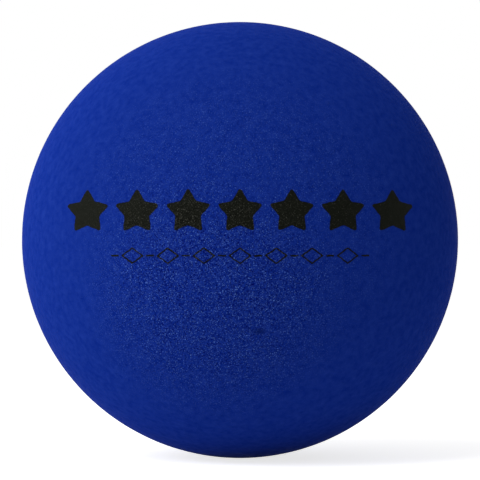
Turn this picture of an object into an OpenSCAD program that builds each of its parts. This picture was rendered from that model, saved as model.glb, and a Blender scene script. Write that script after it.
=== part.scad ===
// Soft dodgeball: a ball of moulded foam under a tough sprayed skin.
// The origin is the ball's centre and +Z is up. The printed face looks
// along -Y, and the two halves of the mould met in the plane y = 0.

/* [Ball] */
// Diameter of the finished ball, over the skin
ball_d = 150; // [90:5:300]

/* [Skin] */
// Thickness of the sprayed skin
skin_t = 0.6; // [0.3:0.1:1.5]

/* [Mould line] */
// How far the mould line stands proud of the foam
line_h = 0.12; // [0.05:0.01:0.3]
// Radius of the mould line's rounded back
line_r = 1.5; // [0.8:0.1:3]

/* [Breather] */
// Diameter of the needle hole that lets the foam breathe
breather_d = 1.2; // [0.8:0.1:2]
// Depth of the needle hole in the foam
breather_depth = 25; // [5:1:35]
// Length of the needle's pointed tip, within that depth
breather_tip = 3; // [1:0.5:4]

/* [Hidden] */
// Facets round every curve
$fn = 128;
// How far a cut runs past the surface that it opens
overrun = 1;
// Radius of the foam under the skin
core_r = ball_d / 2 - skin_t;

// The outline that the mould gives the foam, grown evenly by a coat: a
// sphere, and round it the low ridge where the mould's halves met
module moulded_form(coat) {
  sphere(r = core_r + coat);
  rotate([90, 0, 0])
    rotate_extrude()
      translate([core_r + line_h - line_r, 0])
        circle(r = line_r + coat);
}

// The track of the needle that carries the foam while the skin is sprayed.
// It goes in square to the surface, at the pole behind the print.
module breather() {
  rotate([-90, 0, 0])
    rotate_extrude()
      polygon([
        [0, core_r - breather_depth],
        [breather_d / 2, core_r - breather_depth + breather_tip],
        [breather_d / 2, core_r + skin_t + overrun],
        [0, core_r + skin_t + overrun]
      ]);
}

// Moulded open-cell foam, which carries the ball's shape and its spring
module foam_core() {
  color("#e3d6a8")
    difference() {
      moulded_form(0);
      breather();
    }
}

// Sprayed skin, bonded to the foam all over and of one thickness, so it
// repeats the mould line; only the breather goes through it
module skin() {
  color("#15307a")
    difference() {
      moulded_form(skin_t);
      moulded_form(0);
      breather();
    }
}

foam_core();
skin();
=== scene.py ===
import math

import bpy
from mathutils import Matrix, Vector


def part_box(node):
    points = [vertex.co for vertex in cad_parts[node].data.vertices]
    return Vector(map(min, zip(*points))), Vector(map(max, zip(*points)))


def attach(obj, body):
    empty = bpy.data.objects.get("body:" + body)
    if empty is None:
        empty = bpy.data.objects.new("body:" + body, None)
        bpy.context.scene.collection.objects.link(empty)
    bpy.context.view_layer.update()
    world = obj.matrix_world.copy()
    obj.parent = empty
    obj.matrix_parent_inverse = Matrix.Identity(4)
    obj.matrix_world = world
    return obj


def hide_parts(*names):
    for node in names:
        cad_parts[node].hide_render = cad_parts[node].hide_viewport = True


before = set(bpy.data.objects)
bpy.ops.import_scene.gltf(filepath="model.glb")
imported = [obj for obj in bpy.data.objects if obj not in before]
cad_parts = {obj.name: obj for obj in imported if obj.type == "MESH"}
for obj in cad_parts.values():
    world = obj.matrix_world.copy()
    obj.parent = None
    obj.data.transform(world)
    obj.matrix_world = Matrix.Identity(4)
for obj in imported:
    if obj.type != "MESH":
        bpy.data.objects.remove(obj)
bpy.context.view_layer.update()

# Foam core
# A ball of open-cell polyurethane foam, cast in a mould of two halves. The
# halves leave a low ridge round it, and the needle that carries the ball
# while it is sprayed leaves a fine blind hole. The skin covers it all over.
MM = 0.001
LINE_HEIGHT = 0.12 * MM
LINE_RADIUS = 1.5 * MM
NEEDLE_RADIUS = 0.6 * MM
NEEDLE_DEPTH = 25 * MM
NEEDLE_TIP = 3 * MM
NEEDLE_SIDES = 24
FOAM_DIVISIONS = 56
FOAM_POCK_HEIGHT = 0.05 * MM
FOAM_POCK_SPACING = 5 * MM
FOAM_CELL = 0.9 * MM
FOAM_CELL_DEPTH = 0.25 * MM
FOAM_PALE = (0.78, 0.67, 0.40, 1)
FOAM_SHADED = (0.52, 0.40, 0.19, 1)
FOAM_ROUGHNESS = 0.95
FOAM_WALL_GLOSS = 0.1
FOAM_WALL_FROM = 0.1
FOAM_WALL_TO = 0.7
CREASE_ANGLE = math.radians(35)
CROWDING_SHARE = 0.8
CROWD_WIDTH_SHARE = 0.08
LINE_WAVE = 9 * MM
LINE_RAGGED_SHARE = 0.5
LINE_BLEND = 0.03 * MM
RELIEF_DETAIL = 1.0

foam_low, foam_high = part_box("foam_core")
foam_radius = (foam_high[0] - foam_low[0]) / 2 - LINE_HEIGHT


class Signal:
    """An output socket of a node. Arithmetic on it adds Math nodes to its tree."""

    def __init__(self, tree, socket):
        self.tree = tree
        self.socket = socket

    @staticmethod
    def pick(sockets, key):
        """The socket at a place in the list, or with an identifier or a name."""
        if isinstance(key, int):
            return sockets[key]
        return next(s for s in sockets if key in (s.identifier, s.name))

    @classmethod
    def node(cls, tree, kind, settings=None, values=None, output=0):
        """A new node: its settings first, then a value or Signals for each socket."""
        made = tree.nodes.new(kind)
        for name, value in (settings or {}).items():
            setattr(made, name, value)
        for key, value in (values or {}).items():
            target = cls.pick(made.inputs, key)
            for one in value if isinstance(value, list) else [value]:
                if isinstance(one, Signal):
                    tree.links.new(one.socket, target)
                else:
                    target.default_value = one
        if made.outputs:
            return cls(tree, cls.pick(made.outputs, output))
        return None

    def also(self, output):
        """Another output of the same node."""
        return Signal(self.tree, self.pick(self.socket.node.outputs, output))

    def maths(self, operation, *values):
        """A Math node on these values, in this Signal's tree."""
        settings = {"operation": operation}
        return Signal.node(self.tree, "ShaderNodeMath", settings, dict(enumerate(values)))

    def through(self, operation, *others):
        """This Signal put through one operation of the Math node."""
        return self.maths(operation, self, *others)

    def vector_through(self, operation, *others):
        """This vector put through one operation of the Vector Math node."""
        settings = {"operation": operation}
        values = dict(enumerate((self, *others)))
        return Signal.node(self.tree, "ShaderNodeVectorMath", settings, values)

    def scaled(self, factor):
        """This vector times a number."""
        settings = {"operation": "SCALE"}
        values = {"Vector": self, "Scale": factor}
        return Signal.node(self.tree, "ShaderNodeVectorMath", settings, values)

    def __add__(self, other):
        return self.maths("ADD", self, other)

    __radd__ = __add__

    def __mul__(self, other):
        return self.maths("MULTIPLY", self, other)

    def __sub__(self, other):
        return self.maths("SUBTRACT", self, other)

    def __rsub__(self, other):
        return self.maths("SUBTRACT", other, self)

    def __truediv__(self, other):
        return self.maths("DIVIDE", self, other)

    def __rtruediv__(self, other):
        return self.maths("DIVIDE", other, self)

    def __pow__(self, other):
        return self.maths("POWER", self, other)


def noise(place, spacing, detail=0.0):
    """Smooth noise from 0 to 1, with its lumps about one spacing apart."""
    values = {"Vector": place, "Scale": 1 / spacing, "Detail": detail}
    return Signal.node(place.tree, "ShaderNodeTexNoise", {}, values)


def waves(place, spacing, detail=0.0):
    """The same smooth noise, from -1 to 1."""
    return (noise(place, spacing, detail) - 0.5) * 2


def blend_colour(factor, first, second):
    """The first colour where the factor is 0, and the second where it is 1."""
    values = {"Factor_Float": factor, "A_Color": first, "B_Color": second}
    return Signal.node(factor.tree, "ShaderNodeMix", {"data_type": "RGBA"}, values, "Result_Color")


def ease(signal, low, high):
    """From 0 to 1, softly, while the signal goes from low to high."""
    values = {"Value": signal, "From Min": low, "From Max": high}
    settings = {"interpolation_type": "SMOOTHSTEP"}
    return Signal.node(signal.tree, "ShaderNodeMapRange", settings, values)


def from_middle(place, middle, reach):
    """How far a place lies from the middle of an oval, where 1 is the oval's edge."""
    off = place.vector_through("SUBTRACT", middle).vector_through("DIVIDE", reach)
    return off.vector_through("LENGTH").also("Value")


def new_material(name):
    """An empty material, and the place on the piece that its pattern follows."""
    material = bpy.data.materials.new(name)
    material.use_nodes = True
    material.node_tree.nodes.clear()
    return material, Signal.node(material.node_tree, "ShaderNodeTexCoord", {}, {}, "Object")


def finish_material(material, height, depth, sockets):
    """End a material in one Principled shader, with a bump of this height and depth."""
    tree = material.node_tree
    bump = Signal.node(tree, "ShaderNodeBump", {}, {"Height": height, "Distance": depth})
    shader = Signal.node(tree, "ShaderNodeBsdfPrincipled", {}, {**sockets, "Normal": bump})
    Signal.node(tree, "ShaderNodeOutputMaterial", {}, {"Surface": shader})


def new_tree(name, inputs):
    """A Geometry Nodes tree with named inputs, and a Signal for each of them."""
    tree = bpy.data.node_groups.new(name, "GeometryNodeTree")
    for label, kind in inputs.items():
        tree.interface.new_socket(label, in_out="INPUT", socket_type=kind)
    tree.interface.new_socket("Mesh", in_out="OUTPUT", socket_type="NodeSocketGeometry")
    entry = tree.nodes.new("NodeGroupInput")
    return tree, {label: Signal(tree, entry.outputs[label]) for label in inputs}


def close_tree(mesh, material):
    """End a tree in one smooth mesh with its material."""
    tree = mesh.tree
    mesh = Signal.node(tree, "GeometryNodeRealizeInstances", {}, {"Geometry": mesh})
    mesh = Signal.node(tree, "GeometryNodeSetShadeSmooth", {}, {"Geometry": mesh})
    values = {"Geometry": mesh, "Material": material}
    mesh = Signal.node(tree, "GeometryNodeSetMaterial", {}, values)
    Signal.node(tree, "NodeGroupOutput", {}, {"Mesh": mesh})


def make_piece(name, tree, sizes):
    """Run a tree at its sizes and keep what it makes as a plain mesh."""
    piece = bpy.data.objects.new(name, bpy.data.meshes.new(name))
    bpy.context.scene.collection.objects.link(piece)
    maker = piece.modifiers.new(name, "NODES")
    maker.node_group = tree
    for socket in tree.interface.items_tree:
        if socket.in_out == "INPUT":
            maker[socket.identifier] = sizes[socket.name]
    finished = piece.evaluated_get(bpy.context.evaluated_depsgraph_get())
    mesh = bpy.data.meshes.new_from_object(finished)
    piece.modifiers.remove(maker)
    piece.data = mesh
    while mesh.materials[0] is None:
        mesh.materials.pop(index=0)
    mesh.name = name
    mesh.set_sharp_from_angle(angle=CREASE_ANGLE)
    return piece


LENGTH = "NodeSocketFloat"
PLACE = "NodeSocketVector"
COUNT = "NodeSocketInt"
FORM_SIZES = {
    "Divisions": COUNT,
    "Foam radius": LENGTH,
    "Coat": LENGTH,
    "Line height": LENGTH,
    "Line radius": LENGTH,
    "Relief": LENGTH,
    "Relief spacing": LENGTH,
    "Lip depth": LENGTH,
    "Lip place": PLACE,
    "Lip reach": PLACE,
    "Dent depth": LENGTH,
    "Dent place": PLACE,
    "Dent reach": PLACE,
}


def ball_form():
    """Node group: the mould's outline grown by a coat, as one mesh of even faces."""
    tree, size = new_tree("Ball form", FORM_SIZES)
    rows = size["Divisions"] + 1
    cube = Signal.node(tree, "GeometryNodeMeshCube", {}, {
        "Size": (2, 2, 2), "Vertices X": rows, "Vertices Y": rows, "Vertices Z": rows,
    })
    corner = Signal.node(tree, "GeometryNodeInputPosition")
    split = Signal.node(tree, "ShaderNodeSeparateXYZ", {}, {"Vector": corner})

    def crowded(along):
        """Draw the rows together at the middle, for the mould line and the breather."""
        near = ((along / CROWD_WIDTH_SHARE) ** 2 * -1).through("EXPONENT")
        return (along * (1 - near * CROWDING_SHARE) * (math.pi / 4)).through("TANGENT")

    axes = {axis: crowded(split.also(axis)) for axis in "XYZ"}
    cube_place = Signal.node(tree, "ShaderNodeCombineXYZ", {}, axes)
    outward = cube_place.vector_through("NORMALIZE")
    parts = Signal.node(tree, "ShaderNodeSeparateXYZ", {}, {"Vector": outward})
    sphere = size["Foam radius"] + size["Coat"]
    place = outward.scaled(sphere)

    lump = waves(place, LINE_WAVE)
    height = size["Line height"] * (1 + lump * LINE_RAGGED_SHARE)
    tube = size["Line radius"] + size["Coat"]
    ring = size["Foam radius"] + height - size["Line radius"]
    from_plane = ring * parts.also("Y")
    rise = (tube * tube - from_plane * from_plane).through("MAXIMUM", 0.0).through("SQRT")
    level = (1 - parts.also("Y") * parts.also("Y")).through("SQRT")
    outline = sphere.through("SMOOTH_MAX", ring * level + rise, LINE_BLEND)

    relief = waves(place, size["Relief spacing"], RELIEF_DETAIL) * size["Relief"]
    for hollow in ("Lip", "Dent"):
        off = from_middle(place, size[hollow + " place"], size[hollow + " reach"])
        relief = relief - (1 - ease(off, 0.0, 1.0)) * size[hollow + " depth"]
    moved = outward.scaled(outline + relief)
    mesh = Signal.node(tree, "GeometryNodeSetPosition", {}, {"Geometry": cube, "Position": moved})
    mesh = Signal.node(tree, "GeometryNodeTriangulate", {"quad_method": "FIXED"}, {"Mesh": mesh})
    Signal.node(tree, "NodeGroupOutput", {}, {"Mesh": mesh})
    return tree


form = ball_form()


def formed(tree, size, coat, **changes):
    """The ball form inside another tree, at that tree's sizes and with this coat."""
    values = {name: size[name] for name in FORM_SIZES if name in size}
    values.update({"Coat": coat, **changes})
    return Signal.node(tree, "GeometryNodeGroup", {"node_tree": form}, values)


def cut(tree, solid, *tools):
    """Cut closed meshes out of a closed mesh."""
    settings = {"operation": "DIFFERENCE", "solver": "MANIFOLD"}
    values = {"Mesh 1": solid, "Mesh 2": list(tools)}
    return Signal.node(tree, "GeometryNodeMeshBoolean", settings, values)


def spike(tree, size, start, length, start_radius):
    """A round solid on the +Y axis, from one radius to the needle's own."""
    cone = Signal.node(tree, "GeometryNodeMeshCone", {}, {
        "Vertices": NEEDLE_SIDES,
        "Radius Bottom": start_radius,
        "Radius Top": size["Needle radius"],
        "Depth": length,
    })
    at = Signal.node(tree, "ShaderNodeCombineXYZ", {}, {"Y": start})
    values = {"Geometry": cone, "Translation": at, "Rotation": (-math.pi / 2, 0, 0)}
    return Signal.node(tree, "GeometryNodeTransform", {}, values)


def foam_tree(material):
    """Geometry Nodes: the moulded ball with the needle's blind hole."""
    tree, size = new_tree("Foam core", {
        **FORM_SIZES,
        "Needle radius": LENGTH,
        "Needle depth": LENGTH,
        "Needle tip": LENGTH,
    })
    bottom = size["Foam radius"] - size["Needle depth"]
    above_tip = bottom + size["Needle tip"]
    shank = spike(tree, size, above_tip, size["Needle depth"], size["Needle radius"])
    tip = spike(tree, size, bottom, size["Needle tip"], 0.0)
    close_tree(cut(tree, formed(tree, size, size["Coat"]), shank, tip), material)
    return tree


foam_material, place = new_material("moulded_foam")
cells = Signal.node(place.tree, "ShaderNodeTexVoronoi", {}, {
    "Vector": place, "Scale": 1 / FOAM_CELL,
})
cell_wall = ease(cells, FOAM_WALL_FROM, FOAM_WALL_TO)
finish_material(foam_material, cell_wall, FOAM_CELL_DEPTH, {
    "Base Color": blend_colour(cell_wall, FOAM_SHADED, FOAM_PALE),
    "Roughness": FOAM_ROUGHNESS - cell_wall * FOAM_WALL_GLOSS,
})
NO_HOLLOW_REACH = Vector((1, 1, 1)) * NEEDLE_RADIUS
FOAM_SIZES = {
    "Divisions": FOAM_DIVISIONS,
    "Foam radius": foam_radius,
    "Coat": 0.0,
    "Line height": LINE_HEIGHT,
    "Line radius": LINE_RADIUS,
    "Relief": FOAM_POCK_HEIGHT,
    "Relief spacing": FOAM_POCK_SPACING,
    "Lip depth": 0.0,
    "Lip place": Vector((0, foam_radius, 0)),
    "Lip reach": NO_HOLLOW_REACH,
    "Dent depth": 0.0,
    "Dent place": Vector((0, -foam_radius, 0)),
    "Dent reach": NO_HOLLOW_REACH,
    "Needle radius": NEEDLE_RADIUS,
    "Needle depth": NEEDLE_DEPTH,
    "Needle tip": NEEDLE_TIP,
}
foam = make_piece("moulded_foam", foam_tree(foam_material), FOAM_SIZES)
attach(foam, "root")
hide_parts("foam_core")

# Skin
# Several sprayed coats of tough blue polyurethane, bonded to the foam. They dry
# with a pebbled grain, coarser in three broad areas than anywhere else on it.
# The grain's hollows hold painted shade and its bumps painted glints, most of
# them in those three areas, and a small dent below the mark holds painted shade.
# The needle leaves the breather, which lets air in and out under a squeeze.
SKIN_DIVISIONS = 114
SKIN_WAVE_HEIGHT = 0.03 * MM
SKIN_WAVE_SPACING = 4.5 * MM
HOLE_LENGTH_IN_COATS = 4
BREATHER_LIP_DEPTH = 0.25 * MM
BREATHER_LIP_REACH = Vector((2.4, 2.4, 2.4)) * MM
SKIN_DEEP = (0.0008, 0.0155, 0.230, 1)
SKIN_PALE = (0.0142, 0.0450, 0.334, 1)
# The pit colour is painted shade in the grain's hollows. The pebble colour, a paler and greyer
# blue, is a painted glint on its bumps, and is also the colour of the wear along the mould line.
SKIN_PIT_SHADE = (0.0000, 0.0000, 0.120, 1)
SKIN_GLINT_AND_WEAR = (0.1400, 0.2900, 0.850, 1)
SKIN_ROUGHNESS = 0.6
PEBBLE_GLOSS = 0.1
SKIN_SPECULAR = 0.001
SKIN_DIFFUSE_ROUGHNESS = 0.7
PIT_SPACING = 0.60 * MM
PIT_WIDTH_SHARE = 0.8
PIT_SPARSENESS = 0.5
PEBBLE_SPACING = 0.45 * MM
PEBBLE_WIDTH_SHARE = 0.5
PEBBLE_SPARSENESS = 1.5
GRAIN_FINE = 0.45 * MM
GRAIN_SWAY = 0.5 * MM
GRAIN_SWAY_SPACING = 0.4 * MM
GRAIN_DEPTH = 0.20 * MM
GRAIN_FAINT = 0.06
GRAIN_PATCH = 7 * MM
GRAIN_PATCHINESS = 0.8
GRAIN_DETAIL = 1.0
CLOUD_SPACING = 2.2 * MM
CLOUD_DETAIL = 2.0
CLOUD_HEIGHT_SHARE = 1.0
LINE_WEAR = 0.07
LINE_WEAR_REACH = 0.8 * MM
LINE_WEAR_SPACING = 12 * MM
LINE_WEAR_DETAIL = 3.0
LINE_WEAR_FROM = 0.3
LINE_WEAR_TO = 0.7
# The dent colour is painted shade, a darker blue in the dent's hollow.
DENT_SHADE_BLUE = (0.0040, 0.0150, 0.150, 1)
DENT_FACING = Vector((0.085, -0.917, -0.389))
DENT_REACH = Vector((3.2, 6.0, 1.4)) * MM
DENT_DEPTH = 0.3 * MM
# Three broad areas, low in front, in front and at the back, where the grain and its painted shade
# and glints show most: they paint where a light low in front would raise glints, with a broad one
# at the back as well.
LOW_AREA = (Vector((-0.15, -1.00, -0.33)), 0.20, 0.74)
FRONT_AREA = (Vector((-0.02, -1.00, 0.08)), 0.36, 0.42)
BACK_AREA = (Vector((0.30, 0.94, 0.15)), 0.90, 0.60)

skin_low, skin_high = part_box("skin")
skin_thickness = (skin_high[0] - skin_low[0]) / 2 - LINE_HEIGHT - foam_radius
ball_radius = foam_radius + skin_thickness
dent_place = DENT_FACING.normalized() * ball_radius


def sway(place, spacing, reach):
    """A small move to one side or another, by smooth noise of this spacing."""
    values = noise(place, spacing).also("Color")
    return values.vector_through("SUBTRACT", (0.5, 0.5, 0.5)).scaled(reach)


def dots(place, spacing, width_share, sparseness):
    """Round dots, 0 between and up to 1 inside, with fewer strong ones if sparser."""
    cells = Signal.node(place.tree, "ShaderNodeTexVoronoi", {}, {
        "Vector": place, "Scale": 1 / spacing,
    })
    chance = Signal.node(place.tree, "ShaderNodeSeparateColor", {}, {"Color": cells.also("Color")})
    return (1 - ease(cells, 0.0, width_share)) * chance ** sparseness


def grain_and_glint_strength(place):
    """How strongly grain, painted shade and glints show: in patches, and most in three broad
    areas.
    """
    strength = GRAIN_FAINT
    for direction, reach, share in (LOW_AREA, FRONT_AREA, BACK_AREA):
        facing = place.vector_through("DOT_PRODUCT", direction.normalized()).also("Value")
        strength = ease(facing, (1 - reach) * ball_radius, ball_radius) * share + strength
    patch = (noise(place, GRAIN_PATCH, GRAIN_DETAIL) - 0.5) * GRAIN_PATCHINESS + 1
    return strength * patch


def grained(place, deep, pale, pit_shade, glint):
    """A cloudy colour from deep to pale, with painted shade and glints, and its height."""
    strength = grain_and_glint_strength(place)
    swayed = place.vector_through("ADD", sway(place, GRAIN_SWAY_SPACING, GRAIN_SWAY))
    pits_and_shade = dots(swayed, PIT_SPACING, PIT_WIDTH_SHARE, PIT_SPARSENESS) * strength
    pebbles_and_glints = dots(swayed, PEBBLE_SPACING, PEBBLE_WIDTH_SHARE, PEBBLE_SPARSENESS) * strength
    fine = (noise(place, GRAIN_FINE, GRAIN_DETAIL) - 0.5) * strength
    cloud = noise(place, CLOUD_SPACING, CLOUD_DETAIL)
    # Painted shade darkens the grain's hollows towards their shade colour, and painted glints pale
    # its bumps towards their glint colour.
    colour = blend_colour(pits_and_shade, blend_colour(cloud, deep, pale), pit_shade)
    height = pebbles_and_glints - pits_and_shade + fine + cloud * CLOUD_HEIGHT_SHARE
    return blend_colour(pebbles_and_glints, colour, glint), height


def skin_tree(material):
    """Geometry Nodes: the sprayed shell, hollow for the foam and open at the breather."""
    tree, size = new_tree("Skin", {
        **FORM_SIZES,
        "Foam divisions": COUNT,
        "Foam relief": LENGTH,
        "Foam relief spacing": LENGTH,
        "Needle radius": LENGTH,
    })
    outside = formed(tree, size, size["Coat"])
    lining = {
        "Divisions": size["Foam divisions"],
        "Relief": size["Foam relief"],
        "Relief spacing": size["Foam relief spacing"],
        "Lip depth": 0.0,
        "Dent depth": 0.0,
    }
    inside = formed(tree, size, 0.0, **lining)
    start = size["Foam radius"] - size["Coat"]
    hole = spike(tree, size, start, size["Coat"] * HOLE_LENGTH_IN_COATS, size["Needle radius"])
    close_tree(cut(tree, outside, inside, hole), material)
    return tree


skin_material, place = new_material("sprayed_skin")
colour, height = grained(place, SKIN_DEEP, SKIN_PALE, SKIN_PIT_SHADE, SKIN_GLINT_AND_WEAR)
parts = Signal.node(place.tree, "ShaderNodeSeparateXYZ", {}, {"Vector": place})
off_line = ease(parts.also("Y").through("ABSOLUTE"), 0.0, LINE_WEAR_REACH)
wear = noise(place, LINE_WEAR_SPACING, LINE_WEAR_DETAIL)
worn = (1 - off_line) * ease(wear, LINE_WEAR_FROM, LINE_WEAR_TO) * LINE_WEAR
colour = blend_colour(worn, colour, SKIN_GLINT_AND_WEAR)
# Painted shade: the middle of the small dent is turned a darker blue.
dent_shade = 1 - ease(from_middle(place, dent_place, DENT_REACH), 0.0, 1.0)
finish_material(skin_material, height, GRAIN_DEPTH, {
    "Base Color": blend_colour(dent_shade, colour, DENT_SHADE_BLUE),
    "Roughness": SKIN_ROUGHNESS - height * PEBBLE_GLOSS,
    "Specular IOR Level": SKIN_SPECULAR,
    "Diffuse Roughness": SKIN_DIFFUSE_ROUGHNESS,
})
SKIN_SIZES = {
    **FOAM_SIZES,
    "Divisions": SKIN_DIVISIONS,
    "Foam divisions": FOAM_DIVISIONS,
    "Foam relief": FOAM_POCK_HEIGHT,
    "Foam relief spacing": FOAM_POCK_SPACING,
    "Coat": skin_thickness,
    "Relief": SKIN_WAVE_HEIGHT,
    "Relief spacing": SKIN_WAVE_SPACING,
    "Lip depth": BREATHER_LIP_DEPTH,
    "Lip place": Vector((0, ball_radius, 0)),
    "Lip reach": BREATHER_LIP_REACH,
    "Dent depth": DENT_DEPTH,
    "Dent place": dent_place,
    "Dent reach": DENT_REACH,
}
skin = make_piece("sprayed_skin", skin_tree(skin_material), SKIN_SIZES)
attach(skin, "root")
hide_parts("skin")

# Printed mark
# A film of near-black ink that a soft pad presses on to the front of the ball.
# The ink takes on the skin's grain, which leaves its edges a little ragged. The
# mark is a plain row of stars over a chain of open lozenges and dashes.
INK_THICKNESS = 0.04 * MM
INK_DEEP = (0.0028, 0.0036, 0.0020, 1)
INK_PALE = (0.0048, 0.0058, 0.0036, 1)
# The ink's pit colour is painted shade in the grain's hollows, and its pebble colour is a painted
# grey glint on the bumps.
INK_PIT_SHADE = (0.0000, 0.0000, 0.0000, 1)
INK_GLINT = (0.1200, 0.1200, 0.1000, 1)
INK_ROUGHNESS = 0.7
INK_SPECULAR = 0.045
INK_EDGE_STEP = 0.5 * MM
INK_EDGE_WAVE = 1.1 * MM
INK_EDGE_WANDER = 0.35 * MM
MERGE_SHARE = 0.1
STAMP_LENGTH_IN_RADII = 2
STAR_COUNT = 7
STAR_POINTS = 5
STAR_PITCH = 16.5 * MM
STAR_RADIUS = 7.8 * MM
STAR_INNER_SHARE = 0.55
STAR_ROUNDING = 0.6 * MM
STAR_ROUNDING_STEPS = 4
STAR_ROW_HEIGHT = 9 * MM
LINK_COUNT = 7
LINK_PITCH = 11.5 * MM
LINK_LONG = 7.5 * MM
LINK_HIGH = 5.4 * MM
LINK_STROKE = 0.55 * MM
LINK_GAP = 0.7 * MM
LINK_ROW_HEIGHT = -5 * MM


def ink_tree(material):
    """Geometry Nodes: the mark's shapes, repeated in rows, cut from a film on the skin."""
    tree, size = new_tree("Printed mark", {
        **FORM_SIZES,
        "Ink thickness": LENGTH,
        "Star count": COUNT,
        "Star pitch": LENGTH,
        "Star radius": LENGTH,
        "Star inner radius": LENGTH,
        "Star rounding": LENGTH,
        "Star row height": LENGTH,
        "Link count": COUNT,
        "Link pitch": LENGTH,
        "Link length": LENGTH,
        "Link height": LENGTH,
        "Link stroke": LENGTH,
        "Link gap": LENGTH,
        "Link row height": LENGTH,
        "Edge step": LENGTH,
        "Edge wave": LENGTH,
        "Edge wander": LENGTH,
    })

    def filled(*outlines):
        """Fill closed outlines, where one inside another is a hole."""
        joined = Signal.node(tree, "GeometryNodeJoinGeometry", {}, {0: list(outlines)})
        joined = Signal.node(tree, "GeometryNodeResampleCurve", {"mode": "LENGTH"}, {
            "Curve": joined, "Length": size["Edge step"],
        })
        return Signal.node(tree, "GeometryNodeFillCurve", {}, {"Curve": joined})

    def box_outline(mode, **sides):
        """A rectangle or a kite of these sides."""
        labels = {label.replace("_", " ").title(): value for label, value in sides.items()}
        return Signal.node(tree, "GeometryNodeCurvePrimitiveQuadrilateral", {"mode": mode}, labels)

    def row(shape, count, pitch, height):
        """Repeat a flat shape along a level line that is centred on the ball."""
        start = Signal.node(tree, "ShaderNodeCombineXYZ", {}, {
            "X": (count - 1) * pitch * -0.5, "Y": height,
        })
        step = Signal.node(tree, "ShaderNodeCombineXYZ", {}, {"X": pitch})
        line = Signal.node(tree, "GeometryNodeMeshLine", {}, {
            "Count": count, "Start Location": start, "Offset": step,
        })
        values = {"Points": line, "Instance": shape}
        return Signal.node(tree, "GeometryNodeInstanceOnPoints", {}, values)

    star = Signal.node(tree, "GeometryNodeCurveStar", {}, {
        "Points": STAR_POINTS,
        "Outer Radius": size["Star radius"],
        "Inner Radius": size["Star inner radius"],
    })
    star = Signal.node(tree, "GeometryNodeFilletCurve", {"mode": "POLY"}, {
        "Curve": star,
        "Count": STAR_ROUNDING_STEPS,
        "Radius": size["Star rounding"],
        "Limit Radius": True,
    })
    star = Signal.node(tree, "GeometryNodeTransform", {}, {
        "Geometry": filled(star), "Rotation": (0, 0, math.pi / 2),
    })
    half_high = size["Link height"] * 0.5
    lozenge = box_outline("KITE", width=size["Link length"], bottom_height=half_high,
                          top_height=half_high)
    inner_high = half_high - size["Link stroke"]
    inner_long = size["Link length"] * inner_high / half_high
    hollow = box_outline("KITE", width=inner_long, bottom_height=inner_high,
                         top_height=inner_high)
    between = size["Link pitch"] - size["Link length"] - size["Link gap"] * 2
    dash = box_outline("RECTANGLE", width=between, height=size["Link stroke"])
    rows = [
        row(star, size["Star count"], size["Star pitch"], size["Star row height"]),
        row(filled(lozenge, hollow), size["Link count"], size["Link pitch"],
            size["Link row height"]),
        row(filled(dash), size["Link count"] + 1, size["Link pitch"], size["Link row height"]),
    ]
    flat = Signal.node(tree, "GeometryNodeJoinGeometry", {}, {0: rows})
    flat = Signal.node(tree, "GeometryNodeRealizeInstances", {}, {"Geometry": flat})
    at = Signal.node(tree, "GeometryNodeInputPosition")
    ragged = sway(at, size["Edge wave"], size["Edge wander"])
    ragged = ragged.vector_through("MULTIPLY", (1, 1, 0))
    flat = Signal.node(tree, "GeometryNodeSetPosition", {}, {"Geometry": flat, "Offset": ragged})
    raised = Signal.node(tree, "GeometryNodeExtrudeMesh", {"mode": "FACES"}, {
        "Mesh": flat,
        "Offset": (0, 0, 1),
        "Offset Scale": size["Foam radius"] * STAMP_LENGTH_IN_RADII,
        "Individual": False,
    })
    base = Signal.node(tree, "GeometryNodeFlipFaces", {}, {"Mesh": flat})
    stamp = Signal.node(tree, "GeometryNodeJoinGeometry", {}, {0: [raised, base]})
    stamp = Signal.node(tree, "GeometryNodeMergeByDistance", {}, {
        "Geometry": stamp, "Distance": size["Ink thickness"] * MERGE_SHARE,
    })
    stamp = Signal.node(tree, "GeometryNodeTransform", {}, {
        "Geometry": stamp, "Rotation": (math.pi / 2, 0, 0),
    })
    inked = formed(tree, size, size["Coat"] + size["Ink thickness"])
    settings = {"operation": "INTERSECT", "solver": "MANIFOLD"}
    inked = Signal.node(tree, "GeometryNodeMeshBoolean", settings, {"Mesh 2": [inked, stamp]})
    close_tree(cut(tree, inked, formed(tree, size, size["Coat"])), material)
    return tree


ink_material, place = new_material("pad_print_ink")
# Painted shade and painted glints: the ink's grain darkens to black in its hollows and pales to
# grey on its bumps.
colour, height = grained(place, INK_DEEP, INK_PALE, INK_PIT_SHADE, INK_GLINT)
finish_material(ink_material, height, GRAIN_DEPTH, {
    "Base Color": colour,
    "Roughness": INK_ROUGHNESS - height * PEBBLE_GLOSS,
    "Specular IOR Level": INK_SPECULAR,
})
mark = make_piece("printed_mark", ink_tree(ink_material), {
    **SKIN_SIZES,
    "Ink thickness": INK_THICKNESS,
    "Star count": STAR_COUNT,
    "Star pitch": STAR_PITCH,
    "Star radius": STAR_RADIUS,
    "Star inner radius": STAR_RADIUS * STAR_INNER_SHARE,
    "Star rounding": STAR_ROUNDING,
    "Star row height": STAR_ROW_HEIGHT,
    "Link count": LINK_COUNT,
    "Link pitch": LINK_PITCH,
    "Link length": LINK_LONG,
    "Link height": LINK_HIGH,
    "Link stroke": LINK_STROKE,
    "Link gap": LINK_GAP,
    "Link row height": LINK_ROW_HEIGHT,
    "Edge step": INK_EDGE_STEP,
    "Edge wave": INK_EDGE_WAVE,
    "Edge wander": INK_EDGE_WANDER,
})
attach(mark, "root")

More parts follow.
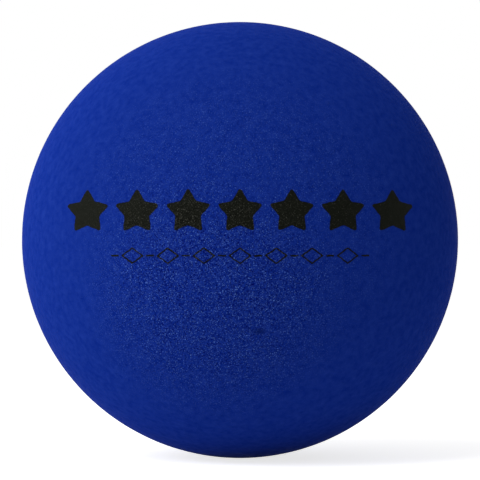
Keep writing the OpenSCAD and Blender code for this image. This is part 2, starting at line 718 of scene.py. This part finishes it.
# Floor and light
# A plain pale floor that keeps the ball's soft shadow, a white room, and two
# big soft lamps: one above on the left, and a weaker one level with the ball.
FLOOR_SIZE = 60.0
FLOOR_PALE = (0.95, 0.95, 0.95, 1)
FLOOR_LIFT = 0.74
ROOM_LIGHT = 0.275
LAMP_SIZE = 1.0
KEY_POWER = 10.9
KEY_PLACE = (-0.63, -0.53, 0.83)
SIDE_POWER = 6.3
SIDE_PLACE = (-1.13, -0.30, 0.10)

ball_bottom = skin_low[2]
bpy.ops.mesh.primitive_plane_add(size=FLOOR_SIZE, location=(0, 0, ball_bottom))
floor = bpy.context.object
floor.name = "floor"
room = bpy.data.worlds.new("room")
bpy.context.scene.world = room
floor_material = bpy.data.materials.new("floor")
floor.data.materials.append(floor_material)


def seen_rays(block):
    """Empty a block's node tree, and find the rays that show it: 1 for those, 0 for its light."""
    block.use_nodes = True
    block.node_tree.nodes.clear()
    rays = Signal.node(block.node_tree, "ShaderNodeLightPath", {}, {}, "Is Camera Ray")
    seen = rays.through("MAXIMUM", rays.also("Is Glossy Ray"))
    return seen.through("MAXIMUM", rays.also("Is Transmission Ray"))


seen = seen_rays(floor_material)
shader = Signal.node(seen.tree, "ShaderNodeBsdfPrincipled", {}, {
    "Base Color": FLOOR_PALE,
    "Roughness": 1.0,
    "Specular IOR Level": 0.0,
    "Emission Color": blend_colour(seen, (0, 0, 0, 1), (1, 1, 1, 1)),
    "Emission Strength": FLOOR_LIFT,
})
Signal.node(seen.tree, "ShaderNodeOutputMaterial", {}, {"Surface": shader})
seen = seen_rays(room)
sky = Signal.node(seen.tree, "ShaderNodeBackground", {}, {
    "Color": (1, 1, 1, 1), "Strength": seen * (1 - ROOM_LIGHT) + ROOM_LIGHT,
})
Signal.node(seen.tree, "ShaderNodeOutputWorld", {}, {"Surface": sky})


def soft_lamp(name, place, power):
    """A square lamp that faces the ball."""
    lamp = bpy.data.lights.new(name, "AREA")
    lamp.size = LAMP_SIZE
    lamp.energy = power
    holder = bpy.data.objects.new(name, lamp)
    holder.location = place
    holder.rotation_euler = (-Vector(place)).to_track_quat("-Z", "Y").to_euler()
    bpy.context.scene.collection.objects.link(holder)


soft_lamp("key_lamp", KEY_PLACE, KEY_POWER)
soft_lamp("side_lamp", SIDE_PLACE, SIDE_POWER)

# Camera
# Straight on to the print, level with the ball's centre, from as far off as
# makes the ball's outline as wide in the frame as it is in the photograph.
LENS = 200
SENSOR = 36
FRAME_PX = 480
OUTLINE_PX = 218.08

half_view = SENSOR / 2 / LENS
half_ball = math.atan(half_view * OUTLINE_PX / (FRAME_PX / 2))
camera = bpy.data.objects.new("camera", bpy.data.cameras.new("camera"))
camera.data.lens = LENS
camera.data.sensor_width = SENSOR
camera.location = (0, -ball_radius / math.sin(half_ball), 0)
camera.rotation_euler = (math.pi / 2, 0, 0)
bpy.context.scene.collection.objects.link(camera)
bpy.context.scene.camera = camera
bpy.context.scene.view_settings.view_transform = "Standard"
